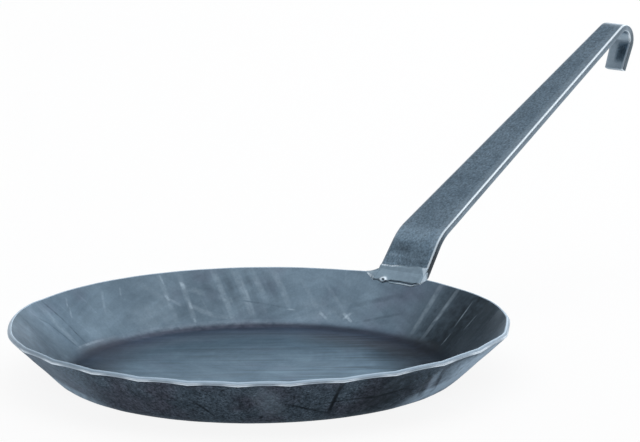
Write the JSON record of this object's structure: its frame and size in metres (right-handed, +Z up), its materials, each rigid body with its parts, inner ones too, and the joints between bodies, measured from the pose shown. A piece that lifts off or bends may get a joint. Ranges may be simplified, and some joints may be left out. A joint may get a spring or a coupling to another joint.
{
  "type": "wrought iron frying pan",
  "caption": "Shallow round frying pan of hammered iron with a straight flared wall and a long tapered flat handle, welded to the rim and ending in a hook for hanging.",
  "frame": {"origin": "centre of the flat underside of the dish", "axes": "+Z up out of the dish, +X along the handle"},
  "size_m": [0.5158, 0.2788, 0.1452],
  "materials": {
    "forged_iron": "hammered and oiled, blue-grey, scratched",
    "bar_iron": "forged bar, grainy blue-grey, edges worn bright",
    "weld_metal": "weld bead, dressed flat on the inside"
  },
  "bodies": {
    "root": {"pan_body": "forged_iron", "hook_handle": "bar_iron", "weld_root_run": "weld_metal", "weld_inside_cap": "weld_metal", "weld_outside_cap": "weld_metal", "weld_left_wrap": "weld_metal", "weld_right_wrap": "weld_metal"}
  },
  "joints": []
}
